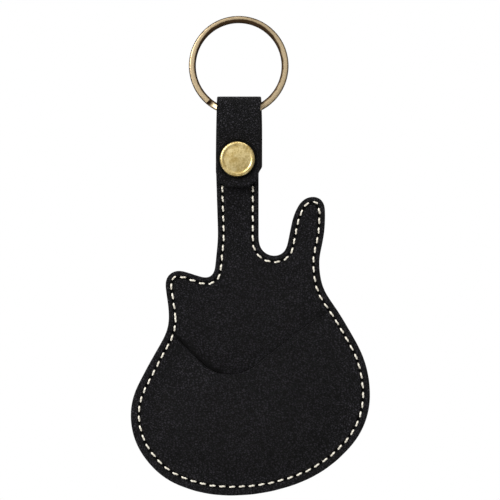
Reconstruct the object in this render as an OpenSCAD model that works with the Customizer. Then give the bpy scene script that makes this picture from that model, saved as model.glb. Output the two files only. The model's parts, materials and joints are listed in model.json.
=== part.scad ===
// Pick holder: a guitar-shaped leather pocket for plectrums, hung by a snap strap from a split ring.
// X runs to the right, -Y is the front and Z is up. The origin is the top of the ring's inner edge,
// where a hook or a key ring would carry it. Lengths are in millimetres.

/* [Leather] */
// Thickness of each hide
leather_t = 1.2; // [1:0.1:1.4]
// Height that the middle of the pocket stands out from its flat rim
pocket_puff = 2.5; // [1.5:0.1:3]

/* [Strap] */
// Width of the strap
strap_w = 13.4; // [13:0.1:14.5]
// Inside radius of the fold that holds the ring
fold_r = 2.5; // [2.5:0.1:2.8]
// Distance from the fold's centre to the free end of the tongue
tongue_len = 23.5; // [22:0.5:24]
// Corner radius at the free end of the tongue
tongue_corner = 4.5; // [2:0.5:6]

/* [Split ring] */
// Outer diameter of the ring
ring_od = 30; // [29:0.5:32]
// Width of the ring's wire, from its inner to its outer edge
ring_band = 2.1; // [1.8:0.1:2.1]
// Thickness of one coil of the ring
coil_t = 1.12; // [0.9:0.02:1.12]

/* [Press stud] */
// Diameter of the cap
cap_d = 10.5; // [9:0.5:11]
// Height of the cap above the leather
cap_h = 1.5; // [1.2:0.1:2]

/* [Stitching] */
// Distance from one stitch to the next
stitch_pitch = 2.95; // [2.5:0.05:3.5]
// Visible length of a stitch
stitch_len = 2; // [1.5:0.1:2.2]
// Thickness of the thread
thread_d = 0.6; // [0.5:0.05:0.7]

/* [Hidden] */

// The body is laid out in the plane of its hides, with x across and z up from its lowest point.
// Each corner is [x, z, corner radius, distance from the next edge to its stitches], clockwise
// from the right of the neck.
neck_top = 97;
guitar = [
    [6, neck_top, 0, 1.75],    [6, 72, 4.6, 1.75],        [14, 72, 3.6, 1.75],
    [16.5, 84.5, 15, 1.75],    [19.5, 90, 4.8, 1.75],     [26, 90, 3.4, 1.75],
    [26, 79.5, 30, 1.75],      [24, 70.5, 15, 1.75],      [25, 62.5, 14, 2],
    [30.5, 54.5, 60, 2],       [39.5, 39, 31, 2.1],       [39.5, 21.5, 23, 2.2],
    [26.5, 6.5, 38, 2.5],      [7, 0, 55, 2.7],           [-11, 0, 38, 2.7],
    [-23.5, 5.5, 23, 2.7],     [-32.5, 16.5, 21, 2.5],    [-32.5, 29, 20, 2.4],
    [-27, 39.5, 80, 2.2],      [-21, 50, 13, 2],          [-21, 55.5, 24, 1.75],
    [-23, 69.5, 4, 1.75],      [-7.5, 64.5, 2.6, 1.75],   [-6.2, 77.5, 30, 1.75],
    [-6.8, neck_top, 0, 0]
];
neck_right = guitar[0][0];
neck_left = last(guitar)[0];

// The pocket's free edge, from the left waist to the right one, as [x, z, corner radius].
mouth_dip = [[-3.7, 32.2, 12], [21.5, 52, 30]];
mouth_left_z = 51.3;
mouth_right_z = 57;
mouth_step = 2.5;
// The dome of the pocket: its centre and its half width and half height, and the pole of its mesh.
puff_centre = [3.4, 25];
puff_size = [30.5, 19.5];
pocket_pole = [2, 18];
pocket_rings = 9;
// Width of the pocket's level rim, which carries the stitches.
pocket_rim = 3.9;

// Heights above the lowest point of the body.
fold_z = 116.35;
snap_z = 101.1;
snap_x = -0.4;
front_top = 107;
// The ring's lower inner edge lies at the centre of the fold.
ring_ir = ring_od / 2 - ring_band;
hang_z = fold_z + 2 * ring_ir;

// Depths along Y, front to back. The ring's middle plane is y = 0.
back_rear = 2.1;
seam_y = back_rear - leather_t;
front_y = seam_y - leather_t;
pocket_y = front_y - leather_t;
fold_mid_r = fold_r + leather_t / 2;
tongue_rear = -fold_r;
tongue_front = -fold_r - leather_t;
loop_rear = fold_r + leather_t;

// The strap's rear leg bends twice by this angle to come from the fold to the plane of the back hide.
jog_angle = 25;
jog_shift = fold_mid_r - (back_rear - leather_t / 2);
jog_r = jog_shift / (2 * (1 - cos(jog_angle)));
neck_flare = 2;

// The ring, in degrees from +X: where the front coil is cut, where its wire leaves for the rear coil and
// arrives there, and where the rear coil is cut. The angles fall along the wire.
coil_end = 229;
crossover = [-106, -128];
rear_end = -462;
ring_step = 7.5;
coil_gap = 0.04;
wire_corner = 0.4;

// The press stud. Radii of its bores and posts, and the running gap between its two halves.
post_r = 1.55;
post_hole_r = 1.6;
barrel_r = 1.4;
barrel_hole_r = 1.45;
socket_floor = 0.5;
stud_flange = 0.4;
socket_bore_r = 2.2;
stud_room = front_y - tongue_rear;
stud_head = stud_room - socket_floor - 0.1;
socket_depth = stud_room - stud_flange - 0.15;

// A stitch: how far along it each station lies and how full it is there, and half its section there as
// [across, height], in shares of the stitch length and the thread's thickness.
stitch_stations = [[-0.5, 0.5], [-0.25, 1], [0.25, 1], [0.5, 0.5]];
stitch_profile = [[-0.5, 0], [-0.3, 0.5], [0.3, 0.5], [0.5, 0]];

arc_step = 8;
leather = "#1d1c20";
brass = "#a98b4f";
ivory = "#e9e2cf";
eps = 0.01;
// How far a cutting shape runs past what it cuts.
overcut = 1;

// ---- Outlines ----

function unit(v) = v / norm(v);
function plane_xy(p) = [p[0], p[1]];
function turned_by(v, a) = [v[0] * cos(a) - v[1] * sin(a), v[0] * sin(a) + v[1] * cos(a)];
function last(list) = list[len(list) - 1];
function tail(list) = [for (i = [1 : len(list) - 1]) list[i]];

// Points of the arc of radius r that rounds the corner at p, coming from a and going to b.
function corner(a, p, b, r, arc) =
    r <= 0 ? [p] :
    let (
        u = unit(a - p),
        v = unit(b - p),
        turn = 180 - acos(u * v),
        reach = r * tan(turn / 2),
        centre = p + unit(u + v) * r / cos(turn / 2),
        spoke = p + u * reach - centre,
        side = sign(cross(spoke, p + v * reach - centre)),
        steps = max(2, ceil(turn / arc))
    )
    [for (i = [0 : steps]) centre + turned_by(spoke, side * turn * i / steps)];

// A closed outline with each corner of the list rounded, in arcs with a point for each step of angle.
function rounded(list, arc = arc_step) =
    let (n = len(list), at = [for (p = list) plane_xy(p)])
    [for (i = [0 : n - 1]) each corner(at[(i + n - 1) % n], at[i], at[(i + 1) % n], list[i][2], arc)];

// The corner where two edges meet once each has moved to its right by its own distance.
function moved_corner(a, p, b, move_in, move_out) =
    let (
        d = unit(p - a),
        e = unit(b - p),
        p_in = p + move_in * [d[1], -d[0]],
        p_out = p + move_out * [e[1], -e[0]],
        bend = cross(d, e)
    )
    abs(bend) < eps ? (p_in + p_out) / 2 : p_in + d * cross(p_out - p_in, e) / bend;

// The line of the stitches: the body's corners moved inwards by the distance that each edge gives.
function stitch_corner(i) =
    let (
        n = len(guitar),
        a = plane_xy(guitar[(i + n - 1) % n]),
        p = plane_xy(guitar[i]),
        b = plane_xy(guitar[(i + 1) % n]),
        move_in = guitar[(i + n - 1) % n][3],
        move_out = guitar[i][3],
        q = moved_corner(a, p, b, move_in, move_out),
        convex = cross(p - a, b - p) < 0 ? 1 : -1
    )
    [q[0], q[1], guitar[i][2] == 0 ? 0 : max(guitar[i][2] - convex * (move_in + move_out) / 2, 1)];

body_outline = rounded(guitar);
stitch_line = rounded([for (i = [0 : len(guitar) - 1]) stitch_corner(i)]);

// Distance along the stitch line at each of its points, and tables that give x and z at a distance.
function distances(list, i = 0, sum = 0) =
    i == len(list) - 1 ? [sum] : concat([sum], distances(list, i + 1, sum + norm(list[i + 1] - list[i])));
stitch_run = distances(stitch_line);
stitch_x = [for (i = [0 : len(stitch_line) - 1]) [stitch_run[i], stitch_line[i][0]]];
stitch_z = [for (i = [0 : len(stitch_line) - 1]) [stitch_run[i], stitch_line[i][1]]];
function stitch_at(s) = [lookup(s, stitch_x), lookup(s, stitch_z)];
function stitch_way(s) = unit(stitch_at(s + stitch_pitch / 4) - stitch_at(s - stitch_pitch / 4));
stitch_count = floor(last(stitch_run) / stitch_pitch);
stitch_margin = (last(stitch_run) - (stitch_count - 1) * stitch_pitch) / 2;

// ---- Pocket ----

// An open line with points no further apart than a step.
function divided(list, step) = [
    for (i = [0 : len(list) - 2])
        let (a = list[i], b = list[i + 1], n = max(1, ceil(norm(b - a) / step)))
        for (k = [0 : n - 1]) a + (b - a) * k / n,
    last(list)
];

// The part of the body's outline below both ends of the mouth.
function below_mouth(p) = p[1] < (p[0] > 0 ? mouth_right_z : mouth_left_z);
rim = [for (p = body_outline) if (below_mouth(p)) p];
mouth_corners = concat([[last(rim)[0], last(rim)[1], 0]], mouth_dip, [[rim[0][0], rim[0][1], 0]]);
mouth = divided(rounded(mouth_corners), mouth_step);
pocket_edge = concat(rim, [for (i = [1 : len(mouth) - 2]) mouth[i]]);

// Whether p lies within a closed outline: a level line from it crosses the outline an odd number of times.
function within(p, outline) =
    let (n = len(outline), crossed = [for (i = [0 : n - 1])
        let (a = outline[i], b = outline[(i + 1) % n])
        if ((a[1] > p[1]) != (b[1] > p[1]) && p[0] < a[0] + (b[0] - a[0]) * (p[1] - a[1]) / (b[1] - a[1])) i])
    len(crossed) % 2 == 1;

// A stitch lies on the pocket if either of its ends does, and then runs over the pocket's edge.
function on_pocket(s) =
    within(stitch_at(s - stitch_len / 2), pocket_edge) || within(stitch_at(s + stitch_len / 2), pocket_edge);

// How far the pocket stands out at p: full over the middle and level at the stitched rim.
function puff(p) =
    let (q = norm([(p[0] - puff_centre[0]) / puff_size[0], (p[1] - puff_centre[1]) / puff_size[1]]))
    q >= 1 ? 0 : pocket_puff * pow(1 - pow(q, 4), 2);

// ---- Solids laid out from their outlines ----

// A flat piece with the given outline in X and Z, between two depths along Y.
module plate(outline, front, rear) {
    translate([0, rear, -hang_z])
        rotate([90, 0, 0])
            linear_extrude(rear - front)
                polygon(outline);
}

// A piece turned about the press stud's axis. The profile is [radius, height], and its height runs
// towards the front from depth y.
module turned(y, profile) {
    translate([snap_x, y, snap_z - hang_z])
        rotate([90, 0, 0])
            rotate_extrude($fn = 72)
                polygon(profile);
}

// A hole along the press stud's axis.
module stud_hole(r) {
    through = back_rear - tongue_front + 2 * overcut;
    turned(back_rear + overcut, [[0, 0], [r, 0], [r, through], [0, through]]);
}

// Points of a bend in the strap's side view, each with the direction from the middle of the hide to its
// outer face.
function bend(centre, r, from, to, side) =
    let (steps = ceil(abs(to - from) / arc_step))
    [for (i = [0 : steps])
        let (a = from + (to - from) * i / steps, d = [cos(a), sin(a)])
        [centre + r * d, side * d]];

// The strip of hide that follows such a path, drawn with Y across and Z up.
function strip(path) = concat(
    [for (p = path) p[0] + p[1] * leather_t / 2],
    [for (i = [len(path) - 1 : -1 : 0]) path[i][0] - path[i][1] * leather_t / 2]
);

module strap_piece(path) {
    translate([-strap_w / 2, 0, fold_z - hang_z])
        rotate([90, 0, 90])
            linear_extrude(strap_w)
                polygon(strip(path));
}

// ---- Sub-parts ----

// The ring is one wire wound through nearly two turns, with a short crossover from the front coil to
// the rear one.
module split_ring() {
    section = rounded([
        [ring_ir, -coil_t / 2, wire_corner], [ring_ir, coil_t / 2, wire_corner],
        [ring_od / 2, coil_t / 2, wire_corner], [ring_od / 2, -coil_t / 2, wire_corner]
    ], 45);
    n = len(section);
    steps = ceil((coil_end - rear_end) / ring_step);
    points = [for (i = [0 : steps], p = section)
        let (
            a = coil_end + (rear_end - coil_end) * i / steps,
            crossed = min(max((crossover[0] - a) / (crossover[0] - crossover[1]), 0), 1),
            y = -(coil_t + coil_gap) / 2 * cos(180 * crossed)
        )
        [p[0] * cos(a), y + p[1], p[0] * sin(a)]];
    sides = [for (i = [0 : steps - 1], k = [0 : n - 1])
        let (a = i * n + k, b = i * n + (k + 1) % n)
        each [[a, b, b + n], [a, b + n, a + n]]];
    ends = [[for (k = [n - 1 : -1 : 0]) k], [for (k = [0 : n - 1]) steps * n + k]];
    color(brass)
        translate([0, 0, -ring_ir])
            polyhedron(points, concat(ends, sides));
}

// Stitches lie on a hide from the right of the neck round to its left. Each is a small mound, flat
// where it meets the hide: side is -1 on a front face and 1 on the rear.
module stitches(side, y_panel, y_pocket) {
    n = len(stitch_profile);
    m = n * len(stitch_stations);
    levels = [for (i = [0 : stitch_count - 1])
        on_pocket(stitch_margin + i * stitch_pitch) ? y_pocket : y_panel];
    points = [for (i = [0 : stitch_count - 1], t = stitch_stations, c = stitch_profile)
        let (
            s = stitch_margin + i * stitch_pitch,
            way = stitch_way(s),
            p = stitch_at(s) + way * t[0] * stitch_len + [way[1], -way[0]] * c[0] * t[1] * thread_d,
            y = levels[i]
        )
        [p[0], y + side * c[1] * t[1] * thread_d, p[1] - hang_z]];
    skin = [for (j = [0 : len(stitch_stations) - 2], k = [0 : n - 1])
        let (a = j * n + k, b = j * n + (k + 1) % n)
        each [[a, b, b + n], [a, b + n, a + n]]];
    caps = [[0, 3, 2], [0, 2, 1], [m - n, m - 3, m - 2], [m - n, m - 2, m - 1]];
    faces = [for (i = [0 : stitch_count - 1], f = concat(skin, caps))
        side < 0 ? [f[0], f[1], f[2]] + m * [i, i, i] : [f[2], f[1], f[0]] + m * [i, i, i]];
    polyhedron(points, faces);
}

module back_panel() {
    color(leather)
        plate(body_outline, seam_y, back_rear);
}

// The front hide. It ends between the strap's two legs, where the press stud's lower half holds it.
module front_panel() {
    color(leather)
        difference() {
            plate(concat(body_outline, [[neck_left, front_top], [neck_right, front_top]]), front_y, seam_y);
            stud_hole(barrel_hole_r);
        }
}

// The pocket's hide: rings of points that shrink from its edge to a pole, on its front and rear faces.
module pocket_panel() {
    n = len(pocket_edge);
    // The first ring in from the edge ends the level rim, and the others divide the rest evenly.
    flat = [for (j = [0 : pocket_rings - 1], p = pocket_edge)
        let (spoke = p - pocket_pole, inner = norm(spoke) - pocket_rim)
        pocket_pole + unit(spoke) * (j == 0 ? norm(spoke) : inner * (pocket_rings - j) / (pocket_rings - 1))];
    sheet = concat(flat, [pocket_pole]);
    m = len(sheet);
    front = [for (p = sheet) [p[0], pocket_y - puff(p), p[1] - hang_z]];
    rear = [for (p = sheet) [p[0], front_y - puff(p), p[1] - hang_z]];
    quads = [for (j = [0 : pocket_rings - 2], k = [0 : n - 1])
        each let (a = j * n + k, b = j * n + (k + 1) % n) [[a, b, b + n], [a, b + n, a + n]]];
    fan = [for (k = [0 : n - 1]) [(pocket_rings - 1) * n + k, (pocket_rings - 1) * n + (k + 1) % n, m - 1]];
    front_faces = concat(quads, fan);
    rear_faces = [for (f = front_faces) [f[2] + m, f[1] + m, f[0] + m]];
    wall = [for (k = [0 : n - 1]) each let (b = (k + 1) % n) [[b, k, k + m], [b, k + m, b + m]]];
    color(leather)
        polyhedron(concat(front, rear), concat(front_faces, rear_faces, wall));
}

// The rear leg of the strap: half of the fold, the jog to the back hide's plane, and the wider top of
// the neck.
module strap_loop() {
    jog_in = [fold_mid_r - jog_r, 0];
    jog_out = jog_in + 2 * jog_r * [cos(jog_angle), -sin(jog_angle)];
    foot = [[[fold_mid_r - jog_shift, neck_top - fold_z], [1, 0]]];
    path = concat(
        bend([0, 0], fold_mid_r, 90, 0, 1),
        tail(bend(jog_in, jog_r, 0, -jog_angle, 1)),
        tail(bend(jog_out, jog_r, 180 - jog_angle, 180, -1)),
        foot
    );
    color(leather)
        difference() {
            intersection() {
                strap_piece(path);
                plate([
                    [neck_left, neck_top], [-strap_w / 2, neck_top + neck_flare], [-strap_w / 2, hang_z],
                    [strap_w / 2, hang_z], [strap_w / 2, neck_top + neck_flare], [neck_right, neck_top]
                ], -overcut, loop_rear + overcut);
            }
            stud_hole(barrel_hole_r);
        }
}

// The front leg of the strap: the other half of the fold and the tongue, which carries the cap.
module strap_tongue() {
    path = concat(bend([0, 0], fold_mid_r, 90, 180, 1), [[[-fold_mid_r, -tongue_len], [-1, 0]]]);
    low = fold_z - tongue_len;
    color(leather)
        difference() {
            intersection() {
                strap_piece(path);
                plate(rounded([
                    [strap_w / 2, hang_z, 0], [strap_w / 2, low, tongue_corner],
                    [-strap_w / 2, low, tongue_corner], [-strap_w / 2, hang_z, 0]
                ]), tongue_front - overcut, eps);
            }
            stud_hole(post_hole_r);
        }
}

module snap_cap() {
    rim_r = 0.7;
    wall = 0.45;
    shell = rounded([
        [0, cap_h, 0], [cap_d / 2, cap_h, rim_r], [cap_d / 2, 0, 0], [cap_d / 2 - wall, 0, 0],
        [cap_d / 2 - wall, cap_h - wall, rim_r / 2], [post_r, cap_h - wall, 0],
        [post_r, -leather_t - socket_floor, 0], [0, -leather_t - socket_floor, 0]
    ]);
    color(brass)
        turned(tongue_front, shell);
}

module snap_socket() {
    flange_r = 4.1;
    flange_h = 0.6;
    barrel_top = [3.2, -0.8];
    barrel_end_r = 3;
    color(brass)
        turned(tongue_rear, rounded([
            [post_hole_r, 0, 0], [post_hole_r, -socket_floor, 0], [socket_bore_r, -socket_floor, 0],
            [socket_bore_r, -socket_depth, 0], [barrel_end_r, -socket_depth, 0.3], concat(barrel_top, [0.2]),
            [flange_r, -flange_h, 0.2], [flange_r, 0, 0]
        ]));
}

module snap_stud() {
    flange_r = 3.9;
    neck_r = 1.75;
    neck_h = 0.3;
    head_r = 2;
    crown_r = head_r - 0.1;
    crown_h = 0.5;
    inside_r = barrel_r + 0.1;
    wall = 0.3;
    color(brass)
        turned(front_y, rounded([
            [0, stud_head, 0], [crown_r, stud_head, 0.4], [head_r, stud_head - crown_h, 0.1],
            [neck_r, stud_flange + neck_h, 0.2], [neck_r, stud_flange, 0], [flange_r, stud_flange, 0.2],
            [flange_r, 0, 0], [inside_r, 0, 0], [inside_r, stud_head - wall, 0], [0, stud_head - wall, 0]
        ]));
}

module snap_eyelet() {
    flange_r = 3.7;
    flange_h = 0.6;
    bore_r = 0.9;
    barrel_len = back_rear - front_y + 1;
    color(brass)
        turned(back_rear, rounded([
            [bore_r, -flange_h, 0.3], [flange_r, -flange_h, 0.4], [flange_r, 0, 0], [barrel_r, 0, 0],
            [barrel_r, barrel_len, 0], [bore_r, barrel_len, 0]
        ]));
}

// The front stitches lie on the front hide beside the neck and the horns, and on the pocket's rim below.
module needle_thread() {
    color(ivory)
        stitches(-1, front_y, pocket_y);
}

// The rear stitches lie on the back hide.
module bobbin_thread() {
    color(ivory)
        stitches(1, back_rear, back_rear);
}

split_ring();
back_panel();
front_panel();
pocket_panel();
strap_loop();
strap_tongue();
snap_cap();
snap_socket();
snap_stud();
snap_eyelet();
needle_thread();
bobbin_thread();
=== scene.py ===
# %% [markdown]
# # A leather pick holder, step by step
#
# The object is a small leather pocket in the shape of a guitar. It holds plectrums and hangs from a
# split ring by a strap that closes on a press stud. A maker would cut three hides with a die, sew
# them together round the edge, fold the strap over the ring and set the stud.
#
# We follow the same order. The first lines load the imported model, which is the frame that every
# piece has to fit.

# %% Load the imported model
import json
import math
import bmesh
import bpy
import numpy as np
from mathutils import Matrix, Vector, geometry


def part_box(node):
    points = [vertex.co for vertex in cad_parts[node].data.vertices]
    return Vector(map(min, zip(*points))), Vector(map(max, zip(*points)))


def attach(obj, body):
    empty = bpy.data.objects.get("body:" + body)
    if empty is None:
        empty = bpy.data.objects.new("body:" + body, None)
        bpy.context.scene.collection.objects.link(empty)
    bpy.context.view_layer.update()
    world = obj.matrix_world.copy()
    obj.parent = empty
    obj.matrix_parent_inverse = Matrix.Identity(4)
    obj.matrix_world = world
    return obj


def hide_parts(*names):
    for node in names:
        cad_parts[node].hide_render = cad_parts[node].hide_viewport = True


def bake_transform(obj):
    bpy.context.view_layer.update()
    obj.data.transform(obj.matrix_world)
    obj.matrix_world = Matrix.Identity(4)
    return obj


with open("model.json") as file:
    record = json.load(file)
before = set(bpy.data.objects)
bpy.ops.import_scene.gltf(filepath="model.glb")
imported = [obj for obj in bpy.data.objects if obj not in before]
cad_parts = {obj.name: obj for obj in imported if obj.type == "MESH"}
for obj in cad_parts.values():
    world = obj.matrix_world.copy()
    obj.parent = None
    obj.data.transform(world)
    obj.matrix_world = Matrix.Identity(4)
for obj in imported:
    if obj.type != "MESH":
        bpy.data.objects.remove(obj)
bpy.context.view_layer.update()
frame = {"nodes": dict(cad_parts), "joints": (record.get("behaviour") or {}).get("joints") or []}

MM = 0.001
nodes = frame["nodes"]
joints = {joint["name"]: joint for joint in frame["joints"]}
print("nodes:", sorted(nodes))
print("joints:", sorted(joints))

# %% [markdown]
# ## Sizes
#
# Every size comes from the frame. The hides were modelled as plain slabs, so the box of a slab gives
# the thickness of the leather and the depth at which each hide lies. The fold's centre is the point
# that the holder swings about. Depths run along Y, and the front is on the negative side.

# %% Depths and centres from the frame, in millimetres
def box_mm(node):
    low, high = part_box(node)
    return low / MM, high / MM


back_low, back_high = box_mm("back_panel")
front_low, front_high = box_mm("front_panel")
pocket_low, pocket_high = box_mm("pocket_panel")
_, loop_high = box_mm("strap_loop")
tongue_low, tongue_high = box_mm("strap_tongue")
ring_low, ring_high = box_mm("split_ring")
cap_low, cap_high = box_mm("snap_cap")

hide_t = back_high.y - back_low.y
base_z = back_low.z
neck_top = back_high.z - base_z
front_top = front_high.z - base_z
fold = Vector(joints["swing"]["pos_m"]) / MM
strap_w = tongue_high.x - tongue_low.x
fold_r = loop_high.y - hide_t / 2
stud_x = (cap_low.x + cap_high.x) / 2
stud_z = (cap_low.z + cap_high.z) / 2
print(f"hide {hide_t:.2f}, neck top {neck_top:.1f}, fold radius {fold_r:.2f}")
print(f"stud at {stud_x:.2f}, {stud_z:.2f}")

# %% [markdown]
# ## Reading an outline
#
# A hide's outline is already in the frame: it is the edge where the wall of the slab meets its face.
# We merge a copy of the slab's mesh, pick the edges between a wall and a face, and walk along them
# from end to end. The slab's arcs are made of short straight pieces, so the outline is cut into even
# steps and eased a little, which rounds those pieces off. True corners stay where they are.

# %% Outlines from the slabs
def rim_of(node, facing):
    """A slab's outline on its front (-1) or rear (1), as [x, height above the body's lowest point]."""
    mesh = bmesh.new()
    mesh.from_mesh(nodes[node].data)
    bmesh.ops.remove_doubles(mesh, verts=mesh.verts, dist=0.005 * MM)
    mesh.normal_update()
    links = {}
    for edge in mesh.edges:
        tilts = sorted(face.normal.y * facing for face in edge.link_faces)
        if len(tilts) == 2 and abs(tilts[0]) < 0.05 and tilts[1] > 0.3:
            a, b = (v.index for v in edge.verts)
            links.setdefault(a, []).append(b)
            links.setdefault(b, []).append(a)
    places = {v.index: (v.co.x / MM, v.co.z / MM - base_z) for v in mesh.verts}
    mesh.free()
    start = min(links)
    walk = [start]
    while True:
        onward = [v for v in links[walk[-1]] if v not in walk[-2:]]
        if not onward or onward[0] == start:
            break
        walk.append(onward[0])
    return np.array([places[v] for v in walk])


def clockwise(line):
    """The same closed outline, running clockwise as the front of the holder is seen."""
    x, z = line.T
    area = np.sum(x * np.roll(z, -1) - np.roll(x, -1) * z)
    return line if area < 0 else line[::-1]


def lengths_along(line):
    steps = np.hypot(*np.diff(line, axis=0).T)
    return np.concatenate([[0], np.cumsum(steps)])


def evenly(line, step):
    """Points about one step apart along an open line, both of its ends included."""
    run = lengths_along(line)
    count = max(2, int(round(run[-1] / step)) + 1)
    at = np.linspace(0, run[-1], count)
    return np.column_stack([np.interp(at, run, line[:, i]) for i in range(line.shape[1])])


def eased(line, passes=12):
    """An open line with its small bends smoothed. Its ends stay."""
    line = line.copy()
    for _ in range(passes):
        line[1:-1] += 0.5 * ((line[:-2] + line[2:]) / 2 - line[1:-1])
    return line


def cut_at_corners(line, sharp=35):
    """A closed outline as a list of open lines that meet at its true corners."""
    into = line - np.roll(line, 1, axis=0)
    out = np.roll(line, -1, axis=0) - line
    turn = np.degrees(np.abs(np.angle((out @ [1, 1j]) / (into @ [1, 1j]))))
    corners = list(np.nonzero(turn > sharp)[0])
    runs = []
    for a, b in zip(corners, corners[1:] + [corners[0] + len(line)]):
        runs.append(line[np.arange(a, b + 1) % len(line)])
    return runs


def joined(runs):
    """Open lines that follow each other, as one closed outline."""
    return np.concatenate([run[:-1] for run in runs])


STEP = 0.5
slab = clockwise(rim_of("back_panel", 1))
runs = cut_at_corners(slab)
body_run = eased(evenly(max(runs, key=lambda run: lengths_along(run)[-1]), STEP))
print(f"body outline: {len(slab)} corners in the slab, {len(body_run)} points here")

# %% [markdown]
# ## Where the stitches go
#
# The frame already has one small solid for each stitch. The middle of each one is a point on the
# stitch line, so we collect the separate islands of that mesh and walk from the top right of the
# neck to the nearest next island. The needles went through the leather half way between stitches.

# %% Stitch line from the thread's solids
def stitch_centres(node):
    mesh = bmesh.new()
    mesh.from_mesh(nodes[node].data)
    bmesh.ops.remove_doubles(mesh, verts=mesh.verts, dist=0.005 * MM)
    left = set(mesh.verts)
    centres = []
    while left:
        island = {left.pop()}
        edge = list(island)
        while edge:
            edge = [o for v in edge for e in v.link_edges for o in e.verts if o in left]
            left -= set(edge)
            island |= set(edge)
        centres.append(np.mean([tuple(v.co / MM) for v in island], axis=0))
    mesh.free()
    centres = np.array(centres)
    order = [int(np.argmax(centres[:, 2] + 10 * (centres[:, 0] > 0)))]
    rest = set(range(len(centres))) - set(order)
    while rest:
        last = centres[order[-1]]
        nearest = min(rest, key=lambda i: np.hypot(*(centres[i] - last)[[0, 2]]))
        order.append(nearest)
        rest.discard(nearest)
    return centres[order]


front_stitches = stitch_centres("needle_thread")
stitch_line = front_stitches[:, [0, 2]] - [0, base_z]
needle_holes = (stitch_line[1:] + stitch_line[:-1]) / 2
channel = eased(evenly(stitch_line, STEP), 4)
pitch = lengths_along(stitch_line)[-1] / (len(stitch_line) - 1)
print(f"{len(stitch_line)} stitches, {pitch:.2f} mm apart")

# %% [markdown]
# ## Rounding corners
#
# Some outlines are drawn here and not read: the end of the tongue, and the half sections of the
# turned brass parts. Each is a short list of corners with a radius, and one function puts an arc of
# that radius into each corner.

# %% Corners with a radius
def rounded(corners, arc=15, closed=True):
    """An outline from [x, y, radius] corners, with a point for about each `arc` degrees of a bend."""
    at = np.array([c[:2] for c in corners], float)
    line = []
    for i, (point, (_, _, radius)) in enumerate(zip(at, corners)):
        end = not closed and i in (0, len(at) - 1)
        if end or not radius:
            line.append(point)
            continue
        before, after = at[i - 1] - point, at[(i + 1) % len(at)] - point
        before, after = before / np.hypot(*before), after / np.hypot(*after)
        turn = math.pi - math.acos(np.clip(before @ after, -1, 1))
        centre = point + (before + after) / np.hypot(*(before + after)) * radius / math.cos(turn / 2)
        spoke = (point + before * radius * math.tan(turn / 2) - centre) @ [1, 1j]
        side = -np.sign(before[0] * after[1] - before[1] * after[0])
        for t in np.linspace(0, 1, max(2, round(math.degrees(turn) / arc)) + 1):
            place = spoke * np.exp(1j * side * turn * t)
            line.append(centre + [place.real, place.imag])
    return np.array(line)


# %% [markdown]
# ## How the strap folds
#
# The back of the body, the strap and its tongue are one piece of hide. The maker cuts it flat and
# folds it, and we do the same: the hide is meshed flat, then each point is moved to its place along
# the fold. The side view of the strap is a list of stretches, each with a length and the angle that
# it turns through. It steps back behind the ring, goes over it in a half circle, and comes down
# straight in front. Leather never folds quite true: the tongue runs a little askew and narrows, so
# that the leg behind it shows at one side, and it slumps forward between the fold and the stud.

# %% The strap's side view
FLARE = 2.0
JOG_ANGLE = math.radians(25)
jog_shift = fold_r - (back_high.y - hide_t / 2)
jog_r = jog_shift / (2 * (1 - math.cos(JOG_ANGLE)))
jog_start = fold.z - base_z - 2 * jog_r * math.sin(JOG_ANGLE)
tongue_len = fold.z - tongue_low.z
stretches = [
    (jog_start, 0),
    (jog_r * JOG_ANGLE, -JOG_ANGLE),
    (jog_r * JOG_ANGLE, JOG_ANGLE),
    (fold_r * math.pi, math.pi),
    (tongue_len, 0),
]
fold_start = sum(length for length, _ in stretches[:3])
pattern_len = sum(length for length, _ in stretches)

stretch_ends = np.cumsum([0] + [length for length, _ in stretches])
turned_ends = np.cumsum([math.pi / 2] + [turn for _, turn in stretches])
path_s = np.linspace(0, pattern_len, 6001)
path_heading = np.interp(path_s, stretch_ends, turned_ends)
path_ds = path_s[1] - path_s[0]
mid_heading = (path_heading[1:] + path_heading[:-1]) / 2
path_y = back_high.y - hide_t / 2 + np.concatenate([[0], np.cumsum(np.cos(mid_heading) * path_ds)])
path_z = base_z + np.concatenate([[0], np.cumsum(np.sin(mid_heading) * path_ds)])
print(f"pattern {pattern_len:.1f} mm long; the tongue ends at y {path_y[-1]:.2f}, z {path_z[-1]:.2f}")


def smooth(t):
    t = np.clip(t, 0, 1)
    return t * t * (3 - 2 * t)


SKEW = 0.38
NARROWING = 0.035
SLUMP = 0.42
tongue_start = fold_start + fold_r * math.pi
stud_s = tongue_start + fold.z - stud_z
slump_end = stud_s - (cap_high.x - cap_low.x) / 2


def back_hide_place(x, s, depth):
    """Where a point of the back hide's flat pattern lies. Depth 0 is the flesh side."""
    y, z = np.interp(s, path_s, path_y), np.interp(s, path_s, path_z)
    heading = np.interp(s, path_s, path_heading)
    out = depth - hide_t / 2
    over = smooth((s - jog_start) / (stud_s - jog_start))
    lean = SKEW * (smooth((s - neck_top) / FLARE) - 2 * over)
    slumped = SLUMP * np.sin(math.pi * np.clip((s - tongue_start) / (slump_end - tongue_start), 0, 1)) ** 2
    x = x * (1 - NARROWING * over) + lean
    return np.column_stack([x, y + np.sin(heading) * out - slumped, z - np.cos(heading) * out])


def front_hide_place(x, z, depth):
    return np.column_stack([x, front_high.y - depth, z + base_z])


# %% [markdown]
# ## The pocket's bulge
#
# The pocket hide is sewn flat at its rim and stands away from the front hide in the middle, where
# the plectrums go. A leather pocket keeps that shape: a broad, nearly level top that falls off
# quickly towards the stitches. The same rule as in the frame gives the height at each point.

# %% Height of the pocket over the front hide
puff = pocket_high.y - hide_t - pocket_low.y
puff_centre = np.array([3.4, 25.0])
puff_half = np.array([30.5, 19.5])


def bulge(x, z):
    away = np.hypot((x - puff_centre[0]) / puff_half[0], (z - puff_centre[1]) / puff_half[1])
    return puff * (1 - np.clip(away, 0, 1) ** 4) ** 2


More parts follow.
